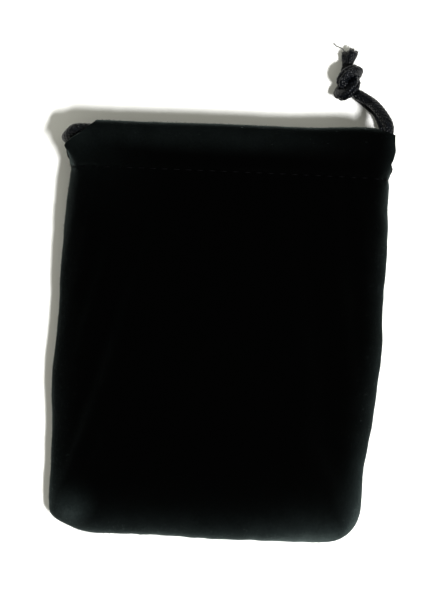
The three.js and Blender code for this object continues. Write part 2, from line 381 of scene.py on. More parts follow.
def loose_overhand(nodes):
    """A loose overhand knot along Y, as an open trefoil."""
    t = np.linspace(-2.25, 2.25, 400)
    p = 1.6 * MM * np.stack([t**3 - 3 * t, t**4 - 4 * t**2, 0.25 * (t**5 - 10 * t)], axis=1)
    p = resample(p, lengths_along(p)[-1] / (nodes - 1))
    along = unit(p[-1] - p[0])
    up = unit(np.cross([1, 0, 0], along))
    return (p - p.mean(axis=0)) @ np.stack([np.cross(along, up), along, up], axis=1)


def tight_overhand(diameter, nodes=110, rounds=510, half_span=15 * MM):
    """The knot pulled tight: a chain with a rope's thickness, whose ends are drawn apart as it shortens."""
    p = loose_overhand(nodes)
    rest = lengths_along(p)[-1] / (nodes - 1)
    i, j = np.triu_indices(nodes, 2)
    goals = np.array([[0, -half_span, 0], [0, half_span, 0]])
    for _ in range(rounds):
        for end, goal in ((0, goals[0]), (-1, goals[1])):
            p[end] += np.clip(goal - p[end], -PULL, PULL)
        rest *= SHRINK
        for _ in range(EVEN_ROUNDS):
            for start in (0, 1):
                count = (nodes - start) // 2
                a = p[start:start + 2 * count:2]
                b = p[start + 1:start + 1 + 2 * count:2]
                d = b - a
                long = np.linalg.norm(d, axis=1, keepdims=True)
                move = d * (0.5 * (long - rest) / long)
                a += move
                b -= move
            near = (j - i) * rest > 1.5 * diameter
            d = p[j[near]] - p[i[near]]
            apart = np.linalg.norm(d, axis=1)
            hit = apart < diameter
            push = d[hit] * (0.25 * (diameter - apart[hit]) / np.maximum(apart[hit], 1e-9))[:, None]
            np.add.at(p, i[near][hit], -push)
            np.add.at(p, j[near][hit], push)
            p[1:-1] += STIFFNESS * ((p[:-2] + p[2:]) / 2 - p[1:-1])
    return p


def knot_route():
    """The middle of both cords through the knot, in place: in at the bottom, out at the top."""
    p = tight_overhand(KNOT_STRAND)
    tied = p[np.abs(p[:, 1]) < KNOT_HALF]
    c, s = math.cos(KNOT_LEAN), math.sin(KNOT_LEAN)
    tied = tied @ np.array([[c, s, 0], [-s, c, 0], [0, 0, 1]])
    middle = (tied.min(axis=0) + tied.max(axis=0)) / 2
    placed = (tied - middle) * KNOT_SCALE
    placed[:, 0] *= 1 + KNOT_SWELL * bell(placed[:, 1], KNOT_SWELL_REACH)
    placed[:, 0] += HEAD_ASIDE * shares(placed[:, 1], *HEAD)
    return placed + KNOT_MIDDLE


STEP = 0.17 * MM
FLOOR_GAP = 0.62 * CORD_D / 2  # from the floor to the middle of a cord that lies on it, a little squeezed
EASE_REACH = 3.2 * MM
TAIL_RAISED = np.array([0.1, 0.6, 0]) * MM  # off the CAD's route, where the tail goes up to the knot
TAIL_ASIDE = np.array([0.55, 0.35, 0]) * MM  # and the lower one at the hem, to show beside the upper one
SQUEEZE_REACH = 2.2 * MM


def eased(path, place, reach, rounds=260):
    """The path with the bend nearest the place relaxed, and nowhere below the floor."""
    s = lengths_along(path)
    join = s[np.argmin(np.linalg.norm(path - place, axis=1))]
    share = 0.5 * np.exp(-(((s - join) / reach) ** 4))[1:-1, None]
    path = path.copy()
    for _ in range(rounds):
        path[1:-1] += share * ((path[:-2] + path[2:]) / 2 - path[1:-1])
        path[:, 2] = np.maximum(path[:, 2], FLOOR_GAP)
    return path


def tail_route(route, knot, knot_normals, side, end):
    """One cord from its exit through the knot to its cut end, its flat side's normals, and how flat it is."""
    inside = knot + side * PAIR_GAP * knot_normals
    up = shares(route[:-1, 1:2], 47 * MM, 51 * MM)
    apart = shares(route[:-1, 1:2], 45.5 * MM, 47 * MM) * (1 - up)
    freed = route[:-1] + TAIL_RAISED * up + TAIL_ASIDE * apart * min(side, 0)
    points = np.vstack([freed, inside[6::4], end])
    path = eased(smooth_curve(points, STEP), inside[0], EASE_REACH)
    # the squeezed cord's flat side faces the other cord
    away = np.linalg.norm(path[:, None] - inside[None], axis=2)
    normals = knot_normals[np.argmin(away, axis=1)]
    tangent = unit(np.gradient(path, axis=0))
    normals = unit(normals - np.sum(normals * tangent, axis=1, keepdims=True) * tangent)
    return path, normals, shares(1 - np.min(away, axis=1) / SQUEEZE_REACH, 0, 1)


# ---------- drawcord: its braid ----------


CARRIERS = 6  # yarns wound each way round the cord
LAY_LENGTH = 6.4 * MM  # one turn of a yarn
YARN_WIDE = 0.5 * MM
YARN_THICK = 0.2 * MM
YARN_LIFT = 0.55  # of its thickness, over and under the other yarns
CORE_SUNK = 1.7 * YARN_THICK  # the core's surface lies this far inside the braid's
CORE_SIDES = 10
WIDTH_LOST = 0.1  # where the cord is squeezed flat
THICKNESS_LOST = 0.6


def braid_parts(path, normals, squeeze, yarn_sides):
    """A hollow braid: yarns wound both ways that pass over and under each other."""
    tangent = unit(np.gradient(path, axis=0))
    side = np.cross(tangent, normals)
    s = lengths_along(path)
    core = CORD_D / 2 - YARN_THICK
    wide = core * (1 - WIDTH_LOST * squeeze)
    thin = core * (1 - THICKNESS_LOST * squeeze)
    parts = []
    for way in (1, -1):
        for carrier in range(CARRIERS):
            turn = 2 * math.pi * s / LAY_LENGTH
            angle = way * turn + 2 * math.pi * carrier / CARRIERS
            lift = way * np.cos(CARRIERS * turn) * YARN_THICK * YARN_LIFT
            out = np.cos(angle)[:, None] * side + np.sin(angle)[:, None] * normals
            middle = (
                path
                + ((wide + lift) * np.cos(angle))[:, None] * side
                + ((thin + lift) * np.sin(angle))[:, None] * normals
            )
            along = unit(np.gradient(middle, axis=0))
            outward = unit(out - np.sum(out * along, axis=1, keepdims=True) * along)
            across = np.cross(along, outward)
            verts = ring_points(middle, across, outward, YARN_WIDE, YARN_THICK, yarn_sides)
            parts.append((verts, ring_faces(len(path), yarn_sides)))
    return parts


def core_part(path, normals, squeeze):
    """The dark filling under the yarns, so that no gap between them shows through."""
    tangent = unit(np.gradient(path, axis=0))
    radius = CORD_D / 2 - CORE_SUNK
    wide = (radius * (1 - WIDTH_LOST * squeeze))[:, None, None]
    thin = (radius * (1 - THICKNESS_LOST * squeeze))[:, None, None]
    verts = ring_points(path, np.cross(tangent, normals), normals, wide, thin, CORE_SIDES)
    return verts, ring_faces(len(path), CORE_SIDES)


def cord_parts(path, normals, squeeze, yarn_sides=6):
    return [*braid_parts(path, normals, squeeze, yarn_sides), core_part(path, normals, squeeze)]


FILAMENTS = 80  # at each cut end
FILAMENT_LENGTH = 1.6 * MM
FILAMENT_SPREAD = 0.4 * MM
FILAMENT_LOWEST = 0.2 * MM  # over the floor


def frayed_end(path, rng):
    """Loose filaments that stand out of a cut end like a brush."""
    tip, along = path[-1], unit(path[-1] - path[-4])
    side = unit(np.cross(along, [0, 0, 1]))
    up = np.cross(side, along)
    parts = []
    for _ in range(FILAMENTS):
        turn, out = rng.uniform(0, 2 * math.pi), math.sqrt(rng.uniform(0, 1))
        away = math.cos(turn) * side + math.sin(turn) * up
        start = tip - along * 0.5 * MM + away * out * 0.75 * MM
        length = FILAMENT_LENGTH * rng.uniform(0.55, 1.0)
        curl = rng.normal(0, 0.14 * MM, (2, 3))
        end = start + along * length + away * out * FILAMENT_SPREAD
        end[2] = max(end[2], FILAMENT_LOWEST)
        between = [start + (end - start) * share + bent for share, bent in zip((0.4, 0.75), curl)]
        line = smooth_curve([start, *between, end], length / 6)
        radius = np.linspace(0.075, 0.05, len(line)) * MM
        parts.append(tube_parts(line, radius, 4))
    return parts


# One long filament pulled out of a cut end, in millimetres from the cord's tip
STRAY = [[0, -0.6, 0], [-0.5, 0.9, 0.1], [-1.4, 1.7, 0.3], [-2.3, 1.9, 0.2], [-3, 2.7, 0]]
STRAY_R = 0.11 * MM


def stray_thread(tip):
    points = tip + np.array(STRAY) * MM
    points[:, 2] = np.maximum(points[:, 2], FILAMENT_LOWEST)
    return tube_parts(smooth_curve(points, 0.2 * MM), STRAY_R, 6)


def cord_material():
    finish = Finish("cord", Roughness=0.27, Specular_IOR_Level=0.1)
    fibres = finish.noise(3200, 3, 0.5)
    finish.tone(fibres, [(0.4, (0.0003, 0.0004, 0.0006)), (0.72, (0.004, 0.0052, 0.008))])
    finish.bump(fibres, 0.35, 0.04 * MM)
    return finish.material


def cut_end_material():
    """Cut filaments, paler than the braid where light goes through them."""
    finish = Finish("cut_filaments", Roughness=0.5)
    finish.tone(finish.noise(2500, 2, 0.5), [(0.5, (0.004, 0.0045, 0.005)), (0.75, (0.05, 0.052, 0.05))])
    return finish.material


# ---------- drawcord: its pieces ----------


def make_round_cord(name, path, finish, yarn_sides):
    """A length of the cord that isn't squeezed anywhere, and slides in the hems."""
    normals = carried_normals(path, (0, 0, 1))
    parts = cord_parts(path, normals, np.zeros(len(path)), yarn_sides)
    piece = dress(join_parts(f"draw{name}", parts), "cord", finish)
    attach(piece, "drawcord")
    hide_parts(name)


def make_tails(finish, cut):
    knot = knot_route()
    knot_normals = carried_normals(knot, (0, 0, 1))
    rng = np.random.default_rng(7)
    for name, route, side, aside in (("front", FRONT_TAIL, 1, -0.75), ("back", BACK_TAIL, -1, 0.75)):
        last = knot[-1] + side * PAIR_GAP * knot_normals[-1]
        end = np.array([
            last + np.array([0.45 * aside + 0.2, 1.3, 0.1]) * MM,
            last + np.array([aside + 0.4, 2.8, 0.15]) * MM,
        ])
        whole = np.vstack([run_route(route[0])[-TUCKED:], route])
        path, normals, squeeze = tail_route(whole, knot, knot_normals, side, end)
        parts = cord_parts(path, normals, squeeze)
        for verts, _ in parts:
            verts[:, 2] = np.maximum(verts[:, 2], 0)
        tail = dress(join_parts(f"drawcord_{name}_tail", parts), "cord", finish)
        loose = frayed_end(path, rng)
        if name == "front":
            loose.append(stray_thread(path[-1]))
        tuft = dress(join_parts(f"drawcord_{name}_fray", loose), "cord", cut)
        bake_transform(tail)
        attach(tuft, "tail")
        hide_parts(f"cord_{name}_tail")
        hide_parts(f"cord_{name}_end")
        if name == "front":
            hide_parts("knot")


def make_cords():
    finish = cord_material()
    for name, cord_exit in (("front", FRONT_EXIT), ("back", BACK_EXIT)):
        path = laid(smooth_curve(run_route(cord_exit)[:-1], 1.5 * STEP))
        make_round_cord(f"cord_{name}_run", path, finish, 5)
    make_round_cord("cord_left_bend", laid(smooth_curve(bend_route(), STEP)), finish, 6)
    make_tails(finish, cut_end_material())


make_cords()

# ---------- velvet: its shape ----------

COLUMNS = 130
HEM_STEP = 0.5 * MM
PANEL_STEP = 0.7 * MM

# The outline and the section, as in the CAD model; these six in millimetres
HALF_WIDTH = 34.5
SIDE_BULGE = 0.6
WIDEN = 0.4
SHIFT = 0.4
LEAN = 0.7
SEAM_LOW, SEAM_RISE = 2.5, 3.1
BODY_TOP, HEM_TOP = 9.2, 10.55
LEFT_CORNER = (9 * MM, 5 * MM)
RIGHT_CORNER = (7 * MM, 8 * MM)
BODY_POWER = 4  # the section is a superellipse, squarer at the hem
HEM_POWER = 12
POWER_RISE = (50 * MM, 79 * MM)  # above the bottom seam
TURN = 12 * MM  # how far above the bottom seam the panel curves
TURN_POWER = 2.5
PEAK = 1.05


def corner_inset(y, across, along):
    q = np.clip((BOTTOM + along - y) / along, 0, 1)
    return across * (1 - np.sqrt(1 - q * q))


def edge_x(y, side):
    """The left (-1) or right (+1) edge of the bag at y, as in the CAD model."""
    t = y / TOP
    inset = corner_inset(y, *(LEFT_CORNER if side < 0 else RIGHT_CORNER))
    half = (HALF_WIDTH + SIDE_BULGE * (1 - t * t) + WIDEN * t) * MM - inset
    return side * half + (SHIFT + LEAN * t) * MM


def seam_z(y):
    return (SEAM_LOW + SEAM_RISE * shares(y, BOTTOM, TOP)) * MM


def fullness(across, up):
    """0 on the seams and 1 over the middle of the bag."""
    power = BODY_POWER + (HEM_POWER - BODY_POWER) * shares(up, *POWER_RISE)
    sides = np.sqrt(np.maximum(0, 1 - np.abs(across) ** power))
    low = np.clip(1 - up / TURN, 0, 1)
    return np.minimum(1, PEAK * sides * np.sqrt(np.maximum(0, 1 - low**TURN_POWER)))


def ripple(x, y, wavelength, seed, waves=9):
    """Smooth noise from -1 to 1 of about one wavelength."""
    rng = np.random.default_rng(seed)
    total = np.zeros(np.broadcast(x, y).shape)
    for _ in range(waves):
        turn, phase = rng.uniform(0, 2 * math.pi, 2)
        k = 2 * math.pi / (wavelength * rng.uniform(0.7, 1.5))
        total += np.cos(k * (x * math.cos(turn) + y * math.sin(turn)) + phase)
    return total / math.sqrt(waves)


# The hem's outer face in millimetres, as y and the height over the cord's middle: from the stitch line
# up, round the cord, and back as the layer turned under
HEM_OVER = [(35, -0.2), (35.5, 0.3), (36.3, 0.75), (37.5, 1), (39.2, 1.25), (40.6, 1.6), (41.6, 1.95)]
HEM_ROUND = [(42.9 + 2.1 * math.sin(a), 2.1 * math.cos(a)) for a in np.radians(np.arange(0, 181, 15))]
HEM_UNDER = [(41.2, -2), (39.2, -2), (37.2, -2.05), (35.4, -2.1), (33.6, -2.1)]


def hem_section():
    points = np.array([(0, y * MM, z * MM) for y, z in HEM_OVER + HEM_ROUND + HEM_UNDER])
    return smooth_curve(points, HEM_STEP)[:, 1:]


HEM_SECTION = hem_section()
FOLD_ROW = int(np.argmax(HEM_SECTION[:, 0]))  # the row along the mouth's edge


def panel_rows():
    """The panel's rows, closer together where it curves up from the bottom seam."""
    curl = TURN * (1 - np.cos(np.linspace(0, math.pi / 2, 26)))
    count = round((STITCH_Y - BOTTOM - TURN) / PANEL_STEP)
    return BOTTOM + np.concatenate([curl[:-1], np.linspace(TURN, STITCH_Y - BOTTOM, count)[:-1]])


PANEL_ROWS = panel_rows()
ACROSS = -np.cos(math.pi * np.arange(COLUMNS + 1) / COLUMNS)


def row_between(left, right, y, z):
    x = (left + right) / 2 + ACROSS * (right - left) / 2
    return np.stack([x, np.full_like(x, y), np.broadcast_to(z, x.shape)], axis=1)


def panel_row(y, front):
    rim = seam_z(y)
    mid = shares(y, 0, STITCH_Y)
    top = (BODY_TOP * (1 - mid) + HEM_TOP * mid) * MM if front else 0.0
    z = rim + (top - rim) * fullness(ACROSS, y - BOTTOM)
    return row_between(edge_x(y, -1), edge_x(y, 1), y, z)


HEM_BEGUN = STITCH_Y + 4.5 * MM  # the panel's edges have turned into the hem's ends here
LEFT_OVERHANG = 0.1 * MM  # past the bag's side
LEFT_CUT, LEFT_SLOPE = 39.3 * MM, 1.05  # above this, the end is cut back
RIGHT_OVERHANG = 1.3 * MM  # past the middle of the cord where it leaves
RIGHT_CUT, RIGHT_SLOPE = 43.5 * MM, 3.2


def hem_ends(y, front):
    """The hem's open ends, cut back where the cord bends at the left and leaves at the right."""
    exit_x = FRONT_EXIT[0] if front else BACK_EXIT[0]
    begun = shares(y, STITCH_Y, HEM_BEGUN)
    left = edge_x(STITCH_Y, -1) - LEFT_OVERHANG + LEFT_SLOPE * np.maximum(0, y - LEFT_CUT)
    left = left - 0.8 * MM * bell(y - 39.7 * MM, 1.8 * MM)  # the cloth's cut edge isn't straight
    right = exit_x + RIGHT_OVERHANG - RIGHT_SLOPE * np.maximum(0, y - RIGHT_CUT)
    right = right + 0.3 * MM * bell(y - 40.8 * MM, 1.2 * MM)
    right = right - 0.4 * MM * bell(y - 38.3 * MM, 1 * MM)
    below = np.minimum(y, STITCH_Y)
    return (
        (1 - begun) * edge_x(below, -1) + begun * left,
        (1 - begun) * edge_x(below, 1) + begun * right,
    )


def risen(row):
    """The hem's fold is a little higher to the right, most where the cord comes out."""
    x, y = row[:, 0], row[:, 1]
    rise = 0.25 * shares(x, -20 * MM, 0) + 0.6 * shares(x, 16 * MM, 30 * MM)
    row[:, 1] += rise * MM * shares(y, 41.5 * MM, 43.5 * MM)
    return row


def hem_row(k, front, face):
    """One row of the hem; the layer turned under follows the layer over it."""
    y, over = HEM_SECTION[k]
    way = 1 if front else -1
    height = (FRONT_CORD_Z if front else BACK_CORD_Z) + way * over
    left, right = hem_ends(y, front)
    if k <= FOLD_ROW:
        begun = shares(y, STITCH_Y, HEM_BEGUN)
        drop = fullness(ACROSS, STITCH_Y - BOTTOM)
        z = height * (begun + (1 - begun) * drop) + seam_z(STITCH_Y) * (1 - begun) * (1 - drop)
        return risen(row_between(left, right, y, z))
    done = np.array(face[:len(PANEL_ROWS) + FOLD_ROW])
    above = np.array([np.interp(y, done[:, c, 1], done[:, c, 2]) for c in range(COLUMNS + 1)])
    free = shares(y, 35.5 * MM, 38.5 * MM)
    z = free * height + (1 - free) * (above - way * 1.5 * MM)
    narrow = (1 - free) * 1.2 * MM
    return risen(row_between(left + narrow, right - narrow, y, z))


def cloth_face(front):
    """The velvet's pile side as rows of points: up the panel, over the cord in the hem, and down inside."""
    face = [panel_row(y, front) for y in PANEL_ROWS]
    for k in range(len(HEM_SECTION)):
        face.append(hem_row(k, front, face))
    return np.array(face)


def seam_gap(points):
    """How far each point is from the nearest seam, on plan."""
    x, y = points[..., 0], points[..., 1]
    return np.minimum(np.minimum(x - edge_x(y, -1), edge_x(y, 1) - x), y - BOTTOM)


def from_outline(rest):
    """How far each point is inside the bag's outline, on plan; the hem counts as far inside."""
    y = rest[..., 1]
    gap = seam_gap(rest)
    gap[len(PANEL_ROWS):] += 20 * MM * shares(y[len(PANEL_ROWS):], STITCH_Y, STITCH_Y + 3 * MM)
    return np.maximum(gap, 0)


def outward_field(face, rest, front):
    """The way out of the cloth: its own normals, but near a seam the way out from a line inside the bag."""
    normals = unit(np.cross(np.gradient(face, axis=1), np.gradient(face, axis=0)))
    normals = normals if front else -normals
    x, y = rest[..., 0], rest[..., 1]
    level = np.maximum(y, BOTTOM + 6 * MM)
    inner_x = np.clip(x, edge_x(level, -1) + 5 * MM, edge_x(level, 1) - 5 * MM)
    radial = unit(rest - np.stack([inner_x, level, seam_z(y)], axis=-1))
    near = bell(from_outline(rest), 1.3 * MM)[..., None]
    return unit(near * radial + (1 - near) * normals)


# ---------- velvet: how it settles ----------

SETTLE_SCALE = 10  # the solver works best on something about a metre long
SETTLE_FRAMES = 26
SETTLE_CAP = 1.4 * MM  # how far the cloth may move
SEAM_DRAWN = 0.05  # how much a row of stitches draws the cloth up
CLOTH_SPARE = 0.008  # how much cloth there is to spare between the seams
SETTLE_ROWS = len(PANEL_ROWS) + FOLD_ROW + 1  # as far as the mouth's edge


def seam_nearness(face):
    """1 on the seams and the hem's stitches, 0 more than a few millimetres from them."""
    gap = np.minimum(seam_gap(face), np.abs(face[..., 1] - STITCH_Y))
    return np.exp(-np.maximum(gap, 0) / (2.5 * MM))


def end_nearness(face):
    """1 at the hem's open ends, 0 a few millimetres from them and on the panels."""
    x, y = face[..., 0], face[..., 1]
    gap = np.minimum(x - x[:, :1], x[:, -1:] - x)
    return bell(gap, 2.2 * MM) * shares(y, STITCH_Y + 1 * MM, STITCH_Y + 4 * MM)


def corner_nearness(face):
    """1 at the two bottom corners, where three layers of seam hold the cloth still, and 0 away from them."""
    x, y = face[..., 0], face[..., 1]
    aside = shares(np.abs(x), 20 * MM, 29 * MM)
    return aside * (1 - shares(y, BOTTOM + 5 * MM, BOTTOM + 11 * MM))


def sewn_bag(front, back, sewn):
    """Both faces in one mesh, sharing the points of the first rows' ends and of the bottom row."""
    rows, columns = front.shape[:2]
    ids = np.arange(2 * rows * columns).reshape(2, rows, columns)
    ids[1, :sewn, 0] = ids[0, :sewn, 0]
    ids[1, :sewn, -1] = ids[0, :sewn, -1]
    ids[1, 0] = ids[0, 0]
    over = np.stack([ids[0, :-1, :-1], ids[0, :-1, 1:], ids[0, 1:, 1:], ids[0, 1:, :-1]], axis=-1)
    under = np.stack([ids[1, :-1, :-1], ids[1, 1:, :-1], ids[1, 1:, 1:], ids[1, :-1, 1:]], axis=-1)
    faces = np.vstack([over.reshape(-1, 4), under.reshape(-1, 4)])
    used, compact = np.unique(faces, return_inverse=True)
    place = np.zeros(2 * rows * columns, int)
    place[used] = np.arange(len(used))
    points = np.concatenate([front.reshape(-1, 3), back.reshape(-1, 3)])[used]
    return points, compact.reshape(faces.shape), place[ids]


def weight_group(piece, name, weights):
    group = piece.vertex_groups.new(name=name)
    weights = np.round(weights, 2)
    for level in np.unique(weights):
        group.add(np.flatnonzero(weights == level).tolist(), float(level), "REPLACE")
    return group.name


def run_cloth(points, faces, held, drawn):
    """The moved points after the cloth solver has run; held and drawn are weights from 0 to 1."""
    piece = mesh_object("settling", points * SETTLE_SCALE, faces.tolist())
    cloth = piece.modifiers.new("cloth", "CLOTH")
    settings = cloth.settings
    settings.quality = 7
    settings.mass = 0.2
    settings.air_damping = 2
    settings.tension_stiffness = 25
    settings.compression_stiffness = 25
    settings.shear_stiffness = 12
    settings.bending_stiffness = 0.35
    settings.pin_stiffness = 1
    settings.vertex_group_mass = weight_group(piece, "held", held)
    settings.vertex_group_shrink = weight_group(piece, "drawn", drawn)
    settings.shrink_min = -CLOTH_SPARE
    settings.shrink_max = SEAM_DRAWN
    settings.use_pressure = True
    settings.uniform_pressure_force = 0.02
    settings.effector_weights.gravity = 0
    cloth.collision_settings.use_collision = False
    cloth.point_cache.frame_start = 1
    cloth.point_cache.frame_end = SETTLE_FRAMES
    scene = bpy.context.scene
    for moment in range(1, SETTLE_FRAMES + 1):
        scene.frame_set(moment)
    settled = piece.evaluated_get(bpy.context.evaluated_depsgraph_get()).data
    moved = np.zeros(3 * len(points))
    settled.vertices.foreach_get("co", moved)
    scene.frame_set(1)
    left_over = piece.data
    bpy.data.objects.remove(piece)
    bpy.data.meshes.remove(left_over)
    return moved.reshape(-1, 3) / SETTLE_SCALE


def finer(coarse, count):
    """The values with a smooth new one between each pair, along the first axis, cut to count."""
    ends = np.concatenate([coarse[:1], coarse, coarse[-1:], coarse[-1:]])
    between = (9 * (ends[1:-2] + ends[2:-1]) - ends[:-3] - ends[3:]) / 16
    fine = np.zeros((2 * len(coarse), *coarse.shape[1:]))
    fine[0::2] = coarse
    fine[1::2] = between
    return fine[:count]


def evened(shift):
    """The solver's movement without its finest ripples, which are only as wide as its mesh."""
    for _ in range(4):  # twice along its rows and twice along its columns
        middle = (shift[:-2] + 2 * shift[1:-1] + shift[2:]) / 4
        shift = np.concatenate([shift[:1], middle, shift[-1:]]).swapaxes(0, 1)
    return shift


def turned_shift(shift, rest):
    """The layer turned under in the hem moves with the cloth over it."""
    y = rest[SETTLE_ROWS:, 0, 1]
    over = rest[:SETTLE_ROWS, 0, 1]
    follow = np.empty((len(y), COLUMNS + 1, 3))
    for column in range(COLUMNS + 1):
        for axis in range(3):
            follow[:, column, axis] = np.interp(y, over, shift[:, column, axis])
    return np.concatenate([shift, follow])


def settle(front, back):
    """Both faces as the cloth solver leaves them, drawn up along the seams and slack between."""
    small = [face[:SETTLE_ROWS:2, ::2] for face in (front, back)]
    sewn = (len(PANEL_ROWS) + 1) // 2
    points, faces, ids = sewn_bag(*small, sewn)
    held = np.zeros(len(points))
    drawn = np.zeros(len(points))
    for side in (0, 1):
        y, z = small[side][..., 1], small[side][..., 2]
        cord = shares(y, 37 * MM, 41.5 * MM)
        on_floor = 0 if side == 0 else 0.1 * shares(-z, -1.5 * MM, 0)
        bottom = 1 - shares(y, BOTTOM + 0.5 * MM, BOTTOM + 5 * MM)
        still = np.maximum(bottom, corner_nearness(small[side]))
        held[ids[side]] = np.maximum(np.maximum(cord, still), 0.11 + on_floor)
        drawn[ids[side]] = seam_nearness(small[side])
    moved = run_cloth(points, faces, held, drawn) - points
    size = np.maximum(np.linalg.norm(moved, axis=1, keepdims=True), 1e-9)
    moved *= SETTLE_CAP * np.tanh(size / SETTLE_CAP) / size
    settled = []
    for side, face in enumerate((front, back)):
        shift = finer(evened(moved[ids[side]]), SETTLE_ROWS)
        shift = finer(shift.transpose(1, 0, 2), COLUMNS + 1).transpose(1, 0, 2)
        shift[..., :2] *= 1 - 0.75 * seam_nearness(face[:SETTLE_ROWS])[..., None]
        shift *= 1 - end_nearness(face[:SETTLE_ROWS])[..., None]
        settled.append(face + turned_shift(shift, face))
    return settled


# ---------- velvet: folds, puckers and seams ----------

HOLE_PITCH = 2.6 * MM  # from one needle hole to the next


def seam_folds(along, distance, seed, size, reach, period):
    slow = ripple(along, 0 * along, 30 * MM, seed)
    fold = np.sin(2 * math.pi * along / period + 1.9 * slow + seed)
    rise = 1 - np.exp(-distance / (1.6 * MM))
    return 1.5 * size * fold * rise * np.exp(-distance / reach) * (0.6 + 0.4 * slow)


def wrinkle(face, rest, front):
    """How far the cloth stands out: puckers at the seams, folds off the hem, dents under the stitches."""
    x, y = rest[..., 0], rest[..., 1]
    seed = 11 if front else 31
    rows = np.arange(len(rest))[:, None]
    on_panel = (rows < len(PANEL_ROWS)) * np.ones_like(x)
    folded = np.clip((len(PANEL_ROWS) + FOLD_ROW - rows) / 6, 0, 1) * np.ones_like(x)
    out = seam_folds(y, x - edge_x(y, -1), seed + 1, 0.22 * MM, 6 * MM, 7.3 * MM)
    out += seam_folds(y, edge_x(y, 1) - x, seed + 2, 0.3 * MM, 7 * MM, 8.6 * MM)
    out += seam_folds(x, y - BOTTOM, seed + 3, 0.24 * MM, 6 * MM, 7.9 * MM)
    out += seam_folds(x, np.abs(y - 38 * MM), seed + 5, 0.26 * MM, 7 * MM, 6.1 * MM)
    out += 0.05 * MM * ripple(x, y, 4.5 * MM, seed + 6) * seam_nearness(rest)
    out += 0.25 * MM * ripple(x, y, 19 * MM, seed + 7) * on_panel * (1 if front else 0.1)
    out *= (1 - 0.7 * corner_nearness(rest)) * (1 - end_nearness(rest))
    hole = np.cos(2 * math.pi * x / HOLE_PITCH)
    out -= (0.24 + 0.14 * hole) * MM * bell(y - STITCH_Y, 0.7 * MM)
    out -= 0.4 * MM * bell(face[..., 2] - seam_z(y), 0.5 * MM) * on_panel
    return out * folded


def sew_rims(front, back):
    """Puts the two faces' edges on one line, a hair apart."""
    sewn = len(PANEL_ROWS)
    hair = np.array([0, 0, 0.02 * MM])
    for rim in ((slice(0, sewn), 0), (slice(0, sewn), COLUMNS), (0, slice(None))):
        middle = (front[rim] + back[rim]) / 2
        front[rim] = middle + hair
        back[rim] = middle - hair


def shaped_faces():
    rest = [cloth_face(True), cloth_face(False)]
    faces = settle(*rest)
    shaped = []
    for face, base, front in zip(faces, rest, (True, False)):
        out = wrinkle(face, base, front)[..., None]
        shaped.append(face + outward_field(face, base, front) * out)
    sew_rims(*shaped)
    for face in shaped:
        face[..., 2] = np.maximum(face[..., 2], 0)
    return rest, [laid(face) for face in shaped]


def closed_sheet(name, outer, inner):
    """A sheet with a thickness, from its two faces; the inner face and nothing else takes material 1."""
    rows, columns = outer.shape[:2]
    count = rows * columns
    r, c = np.meshgrid(np.arange(rows - 1), np.arange(columns - 1), indexing="ij")
    a = (r * columns + c).ravel()
    top = np.stack([a, a + 1, a + columns + 1, a + columns], axis=1)
    under = top[:, ::-1] + count
    edge = np.concatenate([
        np.arange(columns),
        np.arange(1, rows) * columns + columns - 1,
        (rows - 1) * columns + np.arange(columns - 2, -1, -1),
        np.arange(rows - 2, 0, -1) * columns,
    ])
    after = np.roll(edge, -1)
    rim = np.stack([after, edge, edge + count, after + count], axis=1)
    faces = np.vstack([top, under, rim])
    index = np.concatenate([np.zeros(len(top)), np.ones(len(under)), np.zeros(len(rim))])
    verts = np.vstack([outer.reshape(-1, 3), inner.reshape(-1, 3)])
    return mesh_object(name, verts, faces.tolist(), index)


# ---------- velvet: its finish ----------


def faded(gap, reach):
    """1 at an edge, falling off quickly and then slowly."""
    return np.exp(-((np.maximum(gap, 0) / reach) ** 0.9))


def painted_sheen_amount(rest):
    """How much painted sheen the velvet gets: along the edges, over the hem's fold, and least in the middle;
    most low down and on the right, the lamp's side.
    """
    x, y = rest[..., 0], rest[..., 1]
    low = 1 - shares(y, BOTTOM, 10 * MM)  # painted sheen is stronger on the bag's lower half, and strongest on its lowest part
    lowest = 1 - shares(y, BOTTOM + 4 * MM, BOTTOM + 20 * MM)
    # painted sheen along the left edge, weak on the side away from the lamp
    at_left = (0.06 + 0.08 * low + 0.38 * lowest) * faded(x - edge_x(y, -1), 1.3 * MM)
    reach = (0.8 + 0.5 * low + 0.5 * lowest) * MM
    # painted highlight: the right edge, towards the lamp, gets more painted sheen than the left
    at_right = (0.28 + 0.22 * low + 0.5 * lowest) * faded(edge_x(y, 1) - x, reach)
    at_bottom = (0.5 + 0.75 * shares(x, 5 * MM, 25 * MM)) * faded(y - BOTTOM, 1.9 * MM)
    # painted sheen over the hem's rounded fold, at the top left corner and at the lower left foot
    hem = 0.075 * shares(y, TOP - 7.5 * MM, TOP - 2.5 * MM) * (1 - 0.9 * shares(x, 0, 32 * MM))
    corner = 0.16 * np.exp(-np.hypot(x + 33 * MM, y - 43 * MM) / (5 * MM))
    foot = 0.38 * bell(np.hypot(x + 30 * MM, y + 41 * MM), 4.5 * MM)
    return np.maximum.reduce([at_left, at_right, at_bottom, hem, corner, foot])


def mark_painted_sheen(piece, amount):
    """Keeps the amount of painted sheen on the mesh, for the material."""
    # painted sheen: greyer colour where the cloth's edges would catch the light
    layer = piece.data.attributes.new("worn", "FLOAT", "POINT")
    layer.data.foreach_set("value", np.asarray(amount, np.float32).ravel())


